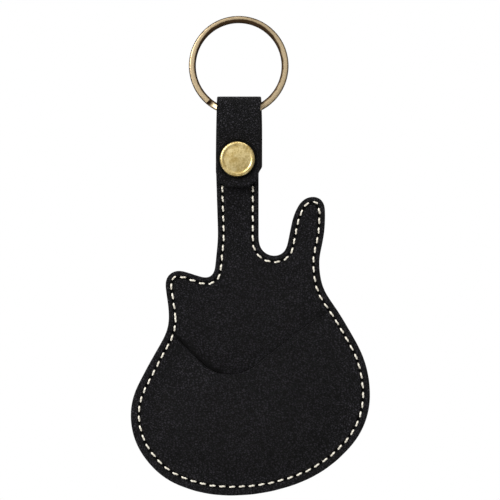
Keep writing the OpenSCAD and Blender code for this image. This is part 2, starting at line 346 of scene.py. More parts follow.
def pocket_place(x, z, depth):
    return np.column_stack([x, pocket_high.y - depth - bulge(x, z), z + base_z])


print(f"the pocket stands {puff:.2f} mm away at its highest")

# %% [markdown]
# ## Making a hide
#
# A hide is a sheet with two faces and a cut edge. It is meshed flat. Rows of points follow the
# outline, more rows follow the stitches, small rings go round the needle holes, and an even grid
# fills the rest. A constrained Delaunay triangulation joins them up.
#
# The height of the grain side then comes from what a maker does to it: the edges are rounded with
# a beveller, the stitching pulls a channel into the leather, each needle leaves a small pit, and
# the leather swells a little beside the channel. Where a button is riveted on, a ring is pressed in.

# %% Distances in the flat pattern
def distance_to(points, line, closed=False):
    """The distance from each point to a line."""
    a = line if closed else line[:-1]
    b = np.roll(line, -1, axis=0) if closed else line[1:]
    way = b - a
    size = np.maximum((way ** 2).sum(axis=1), 1e-12)
    best = np.full(len(points), np.inf)
    for first in range(0, len(points), 2000):
        part = points[first:first + 2000, None, :] - a
        t = np.clip((part * way).sum(axis=2) / size, 0, 1)
        gap = part - t[:, :, None] * way
        best[first:first + 2000] = np.sqrt((gap ** 2).sum(axis=2).min(axis=1))
    return best


def inside(points, outline):
    """Which of the points lie within a closed outline."""
    a, b = outline, np.roll(outline, -1, axis=0)
    found = np.zeros(len(points), bool)
    for (x0, y0), (x1, y1) in zip(a, b):
        spans = (y0 > points[:, 1]) != (y1 > points[:, 1])
        found[spans] ^= points[spans, 0] < (x1 - x0) * (points[spans, 1] - y0) / (y1 - y0) + x0
    return found


def shifted(line, distance, closed=False):
    """A line moved sideways, to its right, by a distance."""
    if closed:
        way = np.roll(line, -1, axis=0) - np.roll(line, 1, axis=0)
    else:
        way = np.gradient(line, axis=0)
    way /= np.hypot(*way.T)[:, None]
    return line + distance * np.column_stack([way[:, 1], -way[:, 0]])


# %% A hide from its flat outline
EDGE_R = 0.34
CHANNEL_HALF = 0.62
CHANNEL_DEPTH = 0.28
PIT_R = 0.42
PIT_DEPTH = 0.42
DENT_WIDTH = 0.55
DENT_DEPTH = 0.3
SHADE_WIDTH = 0.62
SWELL = 0.1
SWELL_AT = 1.15
SWELL_WIDTH = 0.6
CHANNEL_FLOOR = 0.12
GRID = 1.05
BEND_GRID = 0.5


def edge_drop(depth_in):
    """How far the rounded edge lies below the face, at a distance in from the outline."""
    reach = np.clip(1 - depth_in / EDGE_R, 0, 1)
    return EDGE_R * (1 - np.sqrt(1 - reach ** 2))


def relief(points, from_edge, dent, shaded):
    """Height of the grain side above or below its plane, and how much painted shade and wear each point
    gets.
    """
    height = -edge_drop(from_edge)
    aside = distance_to(points, channel)
    in_channel = 1 - smooth((aside - CHANNEL_FLOOR) / (CHANNEL_HALF - CHANNEL_FLOOR))
    beside = np.exp(-((aside - SWELL_AT) / SWELL_WIDTH) ** 2)
    pit = np.exp(-(distance_to_nearest(points, needle_holes) / PIT_R) ** 2 * 1.6)
    height = height + SWELL * beside * smooth(from_edge / 1.2)
    height = height - CHANNEL_DEPTH * in_channel - PIT_DEPTH * pit
    # The stitch channel and the needle pits get painted shade in the colour, and wear in the roughness.
    shade_and_wear = np.maximum(in_channel * 0.7, pit)
    if dent:
        x, s, radius = dent
        pressed = np.exp(-((np.hypot(points[:, 0] - x, points[:, 1] - s) - radius) / DENT_WIDTH) ** 2)
        # The pressed ring round the stud gets a painted shadow in the colour.
        height, shade_and_wear = height - DENT_DEPTH * pressed, np.maximum(shade_and_wear, 0.8 * pressed)
    if shaded is not None:
        # Shade is painted along the shaded line, under the pocket's lip.
        shade_and_wear = np.maximum(shade_and_wear, np.exp(-(distance_to(points, shaded) / SHADE_WIDTH) ** 2))
    return height, shade_and_wear


def distance_to_nearest(points, spots):
    best = np.full(len(points), np.inf)
    for spot in spots:
        best = np.minimum(best, np.hypot(*(points - spot).T))
    return best


def grid_in(outline, low, high, step):
    """Staggered rows of points inside an outline, between two heights."""
    left, right = outline[:, 0].min(), outline[:, 0].max()
    across, up = np.arange(left, right, step), np.arange(low, high, step * 0.87)
    grid = np.array([[x + step / 2 * (row % 2), z] for row, z in enumerate(up) for x in across])
    grid = grid[inside(grid, outline)]
    return grid[distance_to(grid, outline, closed=True) > min(1.2, step * 1.2)]


def pattern_points(outline, bends, dent, shaded):
    """Points that a flat pattern needs inside its outline.

    Bends are the heights that it folds between. A dent is the x, height and radius of a pressed ring,
    and shaded is a line along which shade is painted into the finish. Each of them needs finer points near
    it.
    """
    rows = [shifted(outline, EDGE_R * d, closed=True) for d in (0.13, 0.5, 1.0)]
    rows.append(shifted(outline, 0.75, closed=True)[::2])
    fine = evenly(channel, 0.42)
    for offset in (-0.85, -0.6, -0.4, -0.2, 0, 0.2, 0.4, 0.6, 0.85, 1.3):
        row = shifted(fine, offset)
        rows.append(row[distance_to_nearest(row, needle_holes) > 0.45])
    rows.append(needle_holes)
    for ring_r, count in ((0.17, 6), (0.36, 9)):
        for angle in np.arange(count) * math.tau / count:
            rows.append(needle_holes + ring_r * np.array([math.cos(angle), math.sin(angle)]))
    if dent:
        angles = np.arange(72) * math.tau / 72
        for step in (-0.9, -0.45, 0, 0.45, 0.9):
            rows.append(dent[:2] + (dent[2] + step) * np.column_stack([np.cos(angles), np.sin(angles)]))
    if shaded is not None:
        rows += [shifted(shaded, offset) for offset in (-1, -0.7, -0.35, 0, 0.35, 0.7, 1)]
    points = np.concatenate(rows)
    low, high = outline[:, 1].min(), outline[:, 1].max()
    if bends:
        grid = np.concatenate([
            grid_in(outline, low, bends[0], GRID),
            grid_in(outline, bends[0], bends[1], BEND_GRID),
            grid_in(outline, bends[1], high, GRID),
        ])
    else:
        grid = grid_in(outline, low, high, GRID)
    grid = grid[distance_to(grid, channel) > 1.7]
    if dent:
        grid = grid[abs(np.hypot(*(grid - dent[:2]).T) - dent[2]) > 1.2]
    if shaded is not None:
        grid = grid[distance_to(grid, shaded) > 1.4]
    return np.concatenate([points[inside(points, outline)], grid])


def hide(name, outline, place, bends=None, dent=None, shaded=None):
    """A closed sheet of leather. place() puts a point of its flat pattern at a depth in space."""
    points = pattern_points(outline, bends, dent, shaded)
    close = distance_to(points, outline, closed=True)
    points = np.concatenate([outline, points[close > 0.04]])
    rim = [(i, (i + 1) % len(outline)) for i in range(len(outline))]
    flat, _, faces, _, _, _ = geometry.delaunay_2d_cdt([Vector(p) for p in points], rim, [], 1, 1e-4)
    flat = np.array([tuple(p) for p in flat])
    faces = [face[::-1] for face in faces]

    from_edge = distance_to(flat, outline, closed=True)
    on_rim = from_edge < 1e-3
    from_edge[on_rim] = 0
    height, shade_and_wear = relief(flat, from_edge, dent, shaded)
    grain = place(flat[:, 0], flat[:, 1], hide_t + height)
    flesh = place(flat[:, 0], flat[:, 1], edge_drop(from_edge))

    mesh = bmesh.new()
    top = [mesh.verts.new(p * MM) for p in grain]
    bottom = [mesh.verts.new(p * MM) for p in flesh]
    for face in faces:
        mesh.faces.new([top[i] for i in face]).material_index = 0
        mesh.faces.new([bottom[i] for i in reversed(face)]).material_index = 1
    mesh.verts.index_update()
    count = len(flat)
    for edge in [e for e in mesh.edges if e.is_boundary and max(v.index for v in e.verts) < count]:
        a, b = (v.index for v in edge.verts)
        mesh.faces.new([top[a], top[b], bottom[b], bottom[a]]).material_index = 2
    bmesh.ops.delete(mesh, geom=[v for v in mesh.verts if not v.link_faces], context="VERTS")
    bmesh.ops.recalc_face_normals(mesh, faces=mesh.faces)
    # The attribute carries painted shade and wear to the finish.
    return finished(name, mesh, {"shade_and_wear": np.concatenate([shade_and_wear, np.zeros(count)])})


def finished(name, mesh, attributes=None):
    """A smooth object in the scene from a bmesh. Attributes hold one number for each vertex."""
    data = bpy.data.meshes.new(name)
    mesh.to_mesh(data)
    mesh.free()
    for key, values in (attributes or {}).items():
        data.attributes.new(key, "FLOAT", "POINT").data.foreach_set("value", values.astype(np.float32))
    data.polygons.foreach_set("use_smooth", [True] * len(data.polygons))
    piece = bpy.data.objects.new(name, data)
    bpy.context.scene.collection.objects.link(piece)
    print(f"{name}: {len(data.polygons)} faces")
    return piece


# %% [markdown]
# ## Arithmetic on sockets
#
# Materials and Geometry Nodes trees are graphs, and a sum in a graph is many small nodes. We wrap a
# socket in a class that answers Python's operators, so that a formula is written as a formula. Every
# other node comes from one method, which takes its type, its settings and what goes into its sockets.

# %% Trees and sockets
class Socket:
    """A number or vector on its way through a tree. An operator on it adds a Math node."""

    def __init__(self, tree, socket):
        self.tree, self.socket = tree, socket

    def maths(self, operation, *others):
        return self.tree.node("ShaderNodeMath", {"operation": operation}, dict(enumerate((self, *others))))

    def __add__(self, other):
        return self.maths("ADD", other)

    def __mul__(self, other):
        return self.maths("MULTIPLY", other)

    def __sub__(self, other):
        return self.maths("SUBTRACT", other)

    def __truediv__(self, other):
        return self.maths("DIVIDE", other)

    def __pow__(self, other):
        return self.maths("POWER", other)

    def __rsub__(self, other):
        return self.tree.node("ShaderNodeMath", {"operation": "SUBTRACT"}, {0: other, 1: self})

    __radd__ = __add__
    __rmul__ = __mul__

    def ramp(self, low, high, to_low=0.0, to_high=1.0):
        """0 below one value, 1 above the other, and smooth between them."""
        settings = {"interpolation_type": "SMOOTHSTEP"}
        sockets = {0: self, 1: low, 2: high, 3: to_low, 4: to_high}
        return self.tree.node("ShaderNodeMapRange", settings, sockets)


class Tree:
    """A node tree that is filled by calls."""

    def __init__(self, tree):
        self.tree = tree

    def node(self, kind, settings=None, inputs=None, output=0):
        """A new node: its settings first, then its sockets' values or links. Gives one of its outputs."""
        new = self.tree.nodes.new(kind)
        for key, value in (settings or {}).items():
            setattr(new, key, value)
        for key, value in (inputs or {}).items():
            if isinstance(value, Socket):
                self.tree.links.new(value.socket, new.inputs[key])
            else:
                new.inputs[key].default_value = value
        return Socket(self, new.outputs[output]) if new.outputs else None

    def blended(self, factor, first, second):
        """Two colours mixed by a factor."""
        return self.node("ShaderNodeMix", {"data_type": "RGBA"}, {0: factor, 6: first, 7: second}, 2)


# %% [markdown]
# ## Finishes
#
# A finish starts with the Principled shader. What is the same everywhere is a plain number on the
# shader. What changes over the surface is worked out from Object coordinates, in millimetres, so that
# a size in the pattern is a size on the object.

# %% Starting a finish
class Finish(Tree):
    """A material with a Principled shader."""

    def __init__(self, name, **numbers):
        self.material = bpy.data.materials.new(name)
        self.material.use_nodes = True
        super().__init__(self.material.node_tree)
        self.shader = self.tree.nodes["Principled BSDF"]
        for key, value in numbers.items():
            self.shader.inputs[key.replace("_", " ")].default_value = value
        place = self.node("ShaderNodeTexCoord", output="Object")
        self.mm = self.node("ShaderNodeVectorMath", {"operation": "SCALE"}, {0: place, "Scale": 1 / MM})

    def set(self, **links):
        for key, value in links.items():
            self.tree.links.new(value.socket, self.shader.inputs[key.replace("_", " ")])

    def stretched(self, x, y, z):
        return self.node("ShaderNodeVectorMath", {"operation": "MULTIPLY"}, {0: self.mm, 1: (x, y, z)})

    def noise(self, size, detail=3.0, roughness=0.55, at=None, distortion=0.0):
        """Soft noise whose blotches are about as large as `size`, in millimetres."""
        sockets = {"Vector": at or self.mm, "Scale": 1 / size, "Detail": detail, "Roughness": roughness}
        return self.node("ShaderNodeTexNoise", None, sockets | {"Distortion": distortion})

    def cells(self, size, feature="F1", at=None):
        sockets = {"Vector": at or self.mm, "Scale": 1 / size}
        return self.node("ShaderNodeTexVoronoi", {"feature": feature}, sockets)

    def bump(self, height, depth, below=None, strength=1.0):
        """Relief from a height of 0 to 1, as deep as `depth` millimetres. It can lie on top of another."""
        sockets = {"Strength": strength, "Distance": depth * MM, "Height": height}
        if below:
            sockets["Normal"] = below
        return self.node("ShaderNodeBump", None, sockets)


# %% [markdown]
# ## Black leather
#
# The grain side has fine pebbles a little under a millimetre wide, parted by creases, with longer
# wrinkles that run across the hide. Pebbles are Voronoi cells on coordinates that noise has pushed
# about, so that no two look alike. The finish is satin on top of the pebbles and dull in the creases.
# Its colour is partly the leather's own tone and partly painted light: painted shade in the creases
# and a painted sheen on the pebbles' crowns. An attribute on each hide adds painted shade along the
# stitch channel, in the needle pits, round the pressed ring at the stud and along the pocket's lip,
# and makes the finish rougher there; along the stitching the hide is pressed and handled.
# The flesh side is short dark fibre, and the cut edge is sealed with black edge paint.

# %% Leather finishes
def leather_grain():
    leather = Finish("satin_black_grain", Specular_IOR_Level=0.12)
    push = leather.node(
        "ShaderNodeTexNoise", None, {"Vector": leather.mm, "Scale": 0.9, "Detail": 2.0}, "Color"
    )
    pushed = leather.node(
        "ShaderNodeVectorMath", {"operation": "MULTIPLY_ADD"}, {0: push, 1: (1.2, 1.2, 1.2), 2: leather.mm}
    )
    squashed = leather.node("ShaderNodeVectorMath", {"operation": "MULTIPLY"}, {0: pushed, 1: (0.8, 1, 1.2)})
    pebbles = leather.cells(0.66, "DISTANCE_TO_EDGE", squashed).ramp(0.0, 0.3)
    small = leather.cells(0.38, "F1", squashed).ramp(0.0, 0.8, 1.0, 0.0)
    wrinkles = leather.noise(1.1, 4.0, 0.6, leather.stretched(0.3, 0.6, 0.8), 0.6)
    blotches = leather.noise(9.0, 3.0)
    # The hide's attribute: painted shade in the colour, wear in the roughness.
    shade_and_wear = leather.node("ShaderNodeAttribute", {"attribute_name": "shade_and_wear"}, output="Fac")
    relief = pebbles * 0.5 + small * 0.2 + wrinkles * 0.5
    # Grain tone, less the painted shade that the hide's attribute carries.
    tone_and_shade = pebbles * 0.75 + small * 0.25 + wrinkles * 0.55 + blotches * 0.2 - shade_and_wear * 1.3
    # Crease and crown colours: the grain's own tone, with painted shade in the creases and a painted sheen
    # on the crowns.
    crease_tone_and_shade, crown_tone_and_sheen = (0.0003, 0.0003, 0.0004, 1), (0.0225, 0.0208, 0.0255, 1)
    colour = leather.blended(tone_and_shade.ramp(0.74, 1.38), crease_tone_and_shade, crown_tone_and_sheen)
    roughness = 0.58 - pebbles * 0.22 - blotches * 0.06 + shade_and_wear * 0.3
    leather.set(Base_Color=colour, Roughness=roughness, Normal=leather.bump(relief, 0.38))
    return leather.material


def leather_flesh():
    leather = Finish("suede_flesh", Roughness=0.93, Specular_IOR_Level=0.25)
    fibres = leather.noise(0.5, 6.0, 0.7, leather.stretched(1, 1, 0.6))
    tone = leather.noise(6.0, 2.0)
    deep, raised = (0.006, 0.0055, 0.006, 1), (0.03, 0.027, 0.028, 1)
    colour = leather.blended(fibres * 0.7 + tone * 0.3, deep, raised)
    leather.set(Base_Color=colour, Normal=leather.bump(fibres, 0.12))
    return leather.material


def leather_edge():
    leather = Finish("black_edge_paint", Specular_IOR_Level=0.5)
    layers = leather.noise(0.5, 3.0, 0.6, leather.stretched(0.5, 3, 0.5))
    colour = leather.blended(layers, (0.003, 0.003, 0.0034, 1), (0.022, 0.021, 0.023, 1))
    leather.set(Base_Color=colour, Roughness=0.36 + layers * 0.22, Normal=leather.bump(layers, 0.04))
    return leather.material


hide_finishes = [leather_grain(), leather_flesh(), leather_edge()]
print("finishes:", [finish.name for finish in hide_finishes])

# %% [markdown]
# ## Antique brass and waxed thread
#
# The metal is antique brass. On the ring its finish is darkened by where a point is, not by real
# recesses: along both edges of the wire, with painted shade inside its top, and with a painted shadow
# and patina just past the wire's end, where the other coil would shade it. So the ring's finish needs
# to know how far a point is from the middle of the wire, which follows from its distance to the ring's
# centre. The cap's finish is cloudy, with small pits.

# %% Metal and thread finishes
ring_or = (ring_high.z - ring_low.z) / 2
ring_ir = ring_or - ring_high.z
ring_mid_r = (ring_ir + ring_or) / 2
ring_band = ring_or - ring_ir
WIRE_START, WIRE_END = math.radians(229), math.radians(-462)
CROSSOVER = [math.radians(-106), math.radians(-128)]
wire_end_place = (ring_mid_r * math.cos(WIRE_START), 0, ring_mid_r * math.sin(WIRE_START) - ring_ir)
wire_end_way = (-math.sin(WIRE_START), 0, math.cos(WIRE_START))
print(f"ring {2 * ring_or:.1f} mm outside, {2 * ring_ir:.1f} mm inside")


def ring_brass():
    brass = Finish("antique_brass_wire", Metallic=1.0)
    radial = brass.node("ShaderNodeVectorMath", {"operation": "ADD"}, {0: brass.mm, 1: (0, 0, ring_ir)})
    flat = brass.node("ShaderNodeVectorMath", {"operation": "MULTIPLY"}, {0: radial, 1: (1, 0, 1)})
    radius = brass.node("ShaderNodeVectorMath", {"operation": "LENGTH"}, {0: flat}, "Value")
    outward = (radius - ring_mid_r) * (2 / ring_band)
    up = brass.node("ShaderNodeSeparateXYZ", None, {0: radial}, "Z") / ring_mid_r
    # Near the top of the ring, where painted shade is laid on.
    high = up.ramp(0.2, 1.0)
    clouds = brass.noise(1.6, 5.0, 0.65)
    specks = brass.noise(0.3, 3.0, 0.6)
    ragged = (clouds - 0.5) * 0.5
    # Both edges of the wire are darkened; inside the top this is painted shade.
    outer_edge_dark = (outward + ragged).ramp(0.55, 0.95)
    inner_edge_and_top_shade = (ragged - outward + high * 0.45).ramp(0.2, 0.7)
    from_end = brass.node(
        "ShaderNodeVectorMath", {"operation": "SUBTRACT"}, {0: brass.mm, 1: wire_end_place}
    )
    past_end = brass.node(
        "ShaderNodeVectorMath", {"operation": "DOT_PRODUCT"}, {0: from_end, 1: wire_end_way}, "Value"
    )
    near_end = brass.node("ShaderNodeVectorMath", {"operation": "LENGTH"}, {0: from_end}, "Value")
    # Painted shadow, with patina, just past the wire's end, where the other coil would shade it.
    shadowed = past_end.ramp(-0.05, 0.1) * near_end.ramp(0.7, 2.6, 1.0, 0.0)
    # More painted shade over the top of the ring.
    tone_mix = outer_edge_dark.maths("MAXIMUM", inner_edge_and_top_shade).maths("MAXIMUM", shadowed) + high * 0.3
    # The dark colour carries the edge darkening, the painted shade and the painted shadow.
    colour = brass.blended(tone_mix, (0.60, 0.47, 0.29, 1), (0.045, 0.026, 0.013, 1))
    roughness = 0.34 + clouds * 0.14 + tone_mix * 0.14
    brass.set(Base_Color=colour, Roughness=roughness, Normal=brass.bump(clouds * 0.6 + specks * 0.4, 0.02))
    return brass.material


def stud_brass():
    brass = Finish("antique_brass_stud", Metallic=1.0)
    clouds = brass.noise(2.6, 5.0, 0.68, None, 0.5)
    specks = brass.noise(0.55, 3.0, 0.6)
    tone_mix = (clouds * 0.7 + specks * 0.45).ramp(0.42, 0.74)
    colour = brass.blended(tone_mix, (0.42, 0.30, 0.10, 1), (0.88, 0.72, 0.36, 1))
    roughness = 0.46 - tone_mix * 0.16 + specks * 0.06
    brass.set(Base_Color=colour, Roughness=roughness, Normal=brass.bump(specks * 0.5 + clouds * 0.5, 0.03))
    return brass.material


def waxed_thread():
    thread = Finish("waxed_ivory_thread", Roughness=0.55, Specular_IOR_Level=0.35)
    tone = thread.noise(1.8, 2.0)
    fibres = thread.noise(0.16, 3.0, 0.6)
    light, dark = (0.92, 0.88, 0.77, 1), (0.66, 0.60, 0.48, 1)
    colour = thread.blended((tone * 0.6 + fibres * 0.5).ramp(0.3, 0.85), light, dark)
    thread.set(Base_Color=colour, Normal=thread.bump(fibres, 0.03))
    return thread.material


ring_finish, stud_finish, thread_finish = ring_brass(), stud_brass(), waxed_thread()
print("finishes:", ring_finish.name, stud_finish.name, thread_finish.name)

# %% [markdown]
# ## The three hides
#
# The back hide runs on into the strap and the tongue, so it is one piece of leather from the lowest
# stitch to the free end. The front hide ends between the legs of the strap. The pocket hide takes
# its outline from its slab.
# A strip of the front hide along the steep side of the pocket's lip is darkened in its finish. It
# stands for the shade under a lip that is lifted there, which the hides' own shapes don't throw.

# %% Cut, fold and place the hides
half_strap = strap_w / 2
neck_right, neck_left = body_run[0][0], body_run[-1][0]
TONGUE_CORNER = 4.5
LIP_GAP = 0.3
LIP_END = -5.5


def cut_line(corners):
    return evenly(rounded(corners, closed=False), STEP)


strap_line = cut_line([
    [neck_left, neck_top, 0], [-half_strap, neck_top + FLARE, 0], [-half_strap, pattern_len, TONGUE_CORNER],
    [half_strap, pattern_len, TONGUE_CORNER], [half_strap, neck_top + FLARE, 0], [neck_right, neck_top, 0],
])
front_top_line = cut_line([
    [neck_left, neck_top, 0], [neck_left, front_top, 0],
    [neck_right, front_top, 0], [neck_right, neck_top, 0],
])
pocket_runs = [
    eased(evenly(run, STEP)) for run in cut_at_corners(clockwise(rim_of("pocket_panel", -1)))
]

bends = (jog_start - 1, slump_end)
# The pressed ring round the stud also gets a painted shadow in the hide's finish.
cap_dent = (stud_x + SKEW, stud_s, (cap_high.x - cap_low.x) / 2 + 0.1)
back_hide = hide("back_hide", joined([body_run, strap_line]), back_hide_place, bends, cap_dent)
pocket_line = joined(pocket_runs)
lip = shifted(pocket_line, -LIP_GAP, closed=True)
lip = lip[(distance_to(lip, channel) > 1.6) & inside(lip, joined([body_run, front_top_line]))]
lip = evenly(lip[lip[:, 0] < LIP_END], 0.5)
front_hide = hide("front_hide", joined([body_run, front_top_line]), front_hide_place, shaded=lip)
pocket_hide = hide("pocket_hide", pocket_line, pocket_place)
for piece in (back_hide, front_hide, pocket_hide):
    for finish in hide_finishes:
        piece.data.materials.append(finish)

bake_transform(back_hide)
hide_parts("back_panel", "strap_loop", "strap_tongue")
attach(front_hide, "holder")
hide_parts("front_panel")
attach(pocket_hide, "holder")
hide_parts("pocket_panel")

# %% [markdown]
# ## Stitches along a line
#
# There are over a hundred stitches on each side, all alike, which is what Geometry Nodes are for. A
# guide mesh with one point for each stitch becomes a curve. On each of its points the tree puts one
# short twisted strand that is turned along the curve, leans a little as a saddle stitch does, and
# dips into the leather at both ends. The strand is a three-lobed outline swept along a low arch with
# a growing tilt, which gives the twist with only a few dozen faces.

# %% A tree and its inputs
def tree_with(name, inputs):
    """A Geometry Nodes tree with named inputs, given as a socket type for each name."""
    tree = bpy.data.node_groups.new(name, "GeometryNodeTree")
    tree.interface.new_socket("Geometry", in_out="INPUT", socket_type="NodeSocketGeometry")
    for key, kind in inputs.items():
        tree.interface.new_socket(key, in_out="INPUT", socket_type=kind)
    tree.interface.new_socket("Geometry", in_out="OUTPUT", socket_type="NodeSocketGeometry")
    build = Tree(tree)
    group = tree.nodes.new("NodeGroupInput")
    return build, {key: Socket(build, group.outputs[key]) for key in ("Geometry", *inputs)}


def ended(build, geometry, finish):
    """Ends a tree: instances made real, the finish set, and the result sent out."""
    real = build.node("GeometryNodeRealizeInstances", None, {"Geometry": geometry})
    painted = build.node("GeometryNodeSetMaterial", None, {"Geometry": real, "Material": finish})
    build.node("NodeGroupOutput", None, {"Geometry": painted})


def grown(name, points, build, values):
    """Runs a tree on a line of points and keeps the result as a plain mesh."""
    data = bpy.data.meshes.new(name)
    data.from_pydata([tuple(p) for p in points], [(i, i + 1) for i in range(len(points) - 1)], [])
    piece = bpy.data.objects.new(name, data)
    bpy.context.scene.collection.objects.link(piece)
    modifier = piece.modifiers.new("Tree", "NODES")
    modifier.node_group = build.tree
    for item in build.tree.interface.items_tree:
        if item.in_out == "INPUT" and item.name in values:
            modifier[item.identifier] = values[item.name]
    view = bpy.context.evaluated_depsgraph_get()
    plain = bpy.data.meshes.new_from_object(piece.evaluated_get(view), depsgraph=view)
    piece.modifiers.remove(modifier)
    piece.data = plain
    plain.name = name
    plain.polygons.foreach_set("use_smooth", [True] * len(plain.polygons))
    plain.set_sharp_from_angle(angle=math.radians(50))
    print(f"{name}: {len(plain.polygons)} faces")
    return piece


# %% The stitch tree
build, given = tree_with("stitch_row", {
    "Stitch Length": "NodeSocketFloat", "Thread Thickness": "NodeSocketFloat", "Lift": "NodeSocketFloat",
    "Dip": "NodeSocketFloat", "Lean": "NodeSocketFloat", "Face Normal": "NodeSocketVector",
    "Seed": "NodeSocketInt",
})
row = build.node("GeometryNodeMeshToCurve", None, {"Mesh": given["Geometry"]})
strand = build.node("GeometryNodeCurvePrimitiveLine", None, {"Start": (-0.5, 0, 0), "End": (0.5, 0, 0)})
strand = build.node("GeometryNodeResampleCurve", None, {"Curve": strand, "Count": 8})
along = build.node("GeometryNodeSplineParameter", output="Factor")
from_middle = ((along - 0.5) * 2).maths("ABSOLUTE")
arch = given["Lift"] - given["Dip"] * from_middle ** 3.5
stitch_place = build.node(
    "ShaderNodeCombineXYZ", None, {"X": (along - 0.5) * given["Stitch Length"], "Y": 0.0, "Z": arch}
)
strand = build.node("GeometryNodeSetPosition", None, {"Geometry": strand, "Position": stitch_place})
strand = build.node("GeometryNodeSetCurveTilt", None, {"Curve": strand, "Tilt": along * math.radians(300)})
lobes = build.node("GeometryNodeCurveStar", None, {
    "Points": 3, "Inner Radius": given["Thread Thickness"] * 0.41,
    "Outer Radius": given["Thread Thickness"] * 0.52,
})
strand = build.node("GeometryNodeCurveToMesh", None, {
    "Curve": strand, "Profile Curve": lobes, "Scale": 1.0 - 0.6 * from_middle ** 2.2, "Fill Caps": True,
})
tangent = build.node("GeometryNodeInputTangent")
turn = build.node("FunctionNodeAxesToRotation", None, {0: given["Face Normal"], 1: tangent})
wander = build.node("FunctionNodeRandomValue", {"data_type": "FLOAT"}, {
    "Min": math.radians(-3), "Max": math.radians(3), "Seed": given["Seed"],
}, 1)
lean = build.node("FunctionNodeAxisAngleToRotation", None, {
    "Axis": (0, 0, 1), "Angle": given["Lean"] + wander,
})
turn = build.node("FunctionNodeRotateRotation", {"rotation_space": "LOCAL"}, {0: turn, 1: lean})
stitches = build.node("GeometryNodeInstanceOnPoints", None, {
    "Points": row, "Instance": strand, "Rotation": turn,
})
ended(build, stitches, thread_finish)

# %% Both rows of stitches
THREAD = 0.62
pocket_face = pocket_high.y - hide_t
on_pocket = front_stitches[:, 1] < (pocket_face + front_low.y) / 2
front_depth = np.where(on_pocket, pocket_face, front_low.y)
stitch_x, stitch_z = front_stitches[:, 0], front_stitches[:, 2]
sizes = {
    "Stitch Length": 2.05 * MM, "Thread Thickness": THREAD * MM, "Lift": 0.0 * MM, "Dip": 0.62 * MM,
    "Lean": math.radians(4), "Seed": 7,
}
needle_row = grown("needle_stitches", np.column_stack([stitch_x, front_depth, stitch_z]) * MM, build,
                   sizes | {"Face Normal": (0.0, -1.0, 0.0)})
rear_depth = np.full(len(stitch_x), back_high.y)
bobbin_row = grown("bobbin_stitches", np.column_stack([stitch_x, rear_depth, stitch_z]) * MM, build,
                   sizes | {"Face Normal": (0.0, 1.0, 0.0), "Seed": 8})
for piece, node in ((needle_row, "needle_thread"), (bobbin_row, "bobbin_thread")):
    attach(piece, "holder")
    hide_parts(node)

# %% [markdown]
# ## The split ring
#
# A split ring is one wire wound nearly twice round, so its shape is a rule: the angle grows along the
# wire, and in a short stretch the wire crosses from the front coil to the rear one. The tree bends a
# straight line by that rule and sweeps a rounded band along it. We wind it lying flat, where curve
# normals can point up, and then stand it upright.

# %% The ring tree and the ring
COIL_GAP = 0.04
ring_t = ring_high.y - ring_low.y
coil_t = (ring_t - COIL_GAP) / 2

build, given = tree_with("wound_wire", {
    "Radius": "NodeSocketFloat", "Coil Offset": "NodeSocketFloat", "Band Width": "NodeSocketFloat",
    "Coil Thickness": "NodeSocketFloat", "Corner Radius": "NodeSocketFloat", "Points": "NodeSocketInt",
    "Drop": "NodeSocketFloat",
})
wire = build.node("GeometryNodeCurvePrimitiveLine", None, {"Start": (0, 0, 0), "End": (1, 0, 0)})
wire = build.node("GeometryNodeResampleCurve", None, {"Curve": wire, "Count": given["Points"]})
along = build.node("GeometryNodeSplineParameter", output="Factor")
angle = WIRE_START + along * (WIRE_END - WIRE_START)
crossed = (CROSSOVER[0] - angle) / (CROSSOVER[0] - CROSSOVER[1])
crossed = crossed.maths("MAXIMUM", 0.0).maths("MINIMUM", 1.0)
wire_place = build.node("ShaderNodeCombineXYZ", None, {
    "X": given["Radius"] * angle.maths("COSINE"),
    "Y": given["Radius"] * angle.maths("SINE"),
    "Z": given["Coil Offset"] * (crossed * math.pi).maths("COSINE"),
})
wire = build.node("GeometryNodeSetPosition", None, {"Geometry": wire, "Position": wire_place})
wire = build.node("GeometryNodeSetCurveNormal", {"mode": "Z_UP"}, {"Curve": wire})
band = build.node("GeometryNodeCurvePrimitiveQuadrilateral", None, {
    "Width": given["Band Width"], "Height": given["Coil Thickness"],
})
band = build.node("GeometryNodeFilletCurve", {"mode": "POLY"}, {
    "Curve": band, "Count": 5, "Radius": given["Corner Radius"],
})
wire = build.node("GeometryNodeCurveToMesh", None, {"Curve": wire, "Profile Curve": band, "Fill Caps": True})
drop = build.node("ShaderNodeCombineXYZ", None, {"Z": given["Drop"]})
wire = build.node("GeometryNodeTransform", None, {
    "Geometry": wire, "Rotation": (math.pi / 2, 0, 0), "Translation": drop,
})
ended(build, wire, ring_finish)

ring_coils = grown("ring_coils", [(0, 0, 0), (MM, 0, 0)], build, {
    "Radius": ring_mid_r * MM, "Coil Offset": (coil_t + COIL_GAP) / 2 * MM, "Band Width": ring_band * MM,
    "Coil Thickness": coil_t * MM, "Corner Radius": 0.54 * MM, "Points": 420, "Drop": -ring_ir * MM,
})
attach(ring_coils, "ring")
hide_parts("split_ring")

# %% [markdown]
# ## The press stud
#
# All four parts of a press stud are turned or drawn round, so each is half a section spun about the
# stud's axis. The section is a closed line of corners with radii, and an arc goes into each corner.
# The cap is a thin shell with a rolled rim and a crown that is a little domed. The socket has a bore,
# the stud a bulb that snaps into it, and the eyelet is the flange seen behind.

# %% Spinning a section
SPIN_STEPS = 96


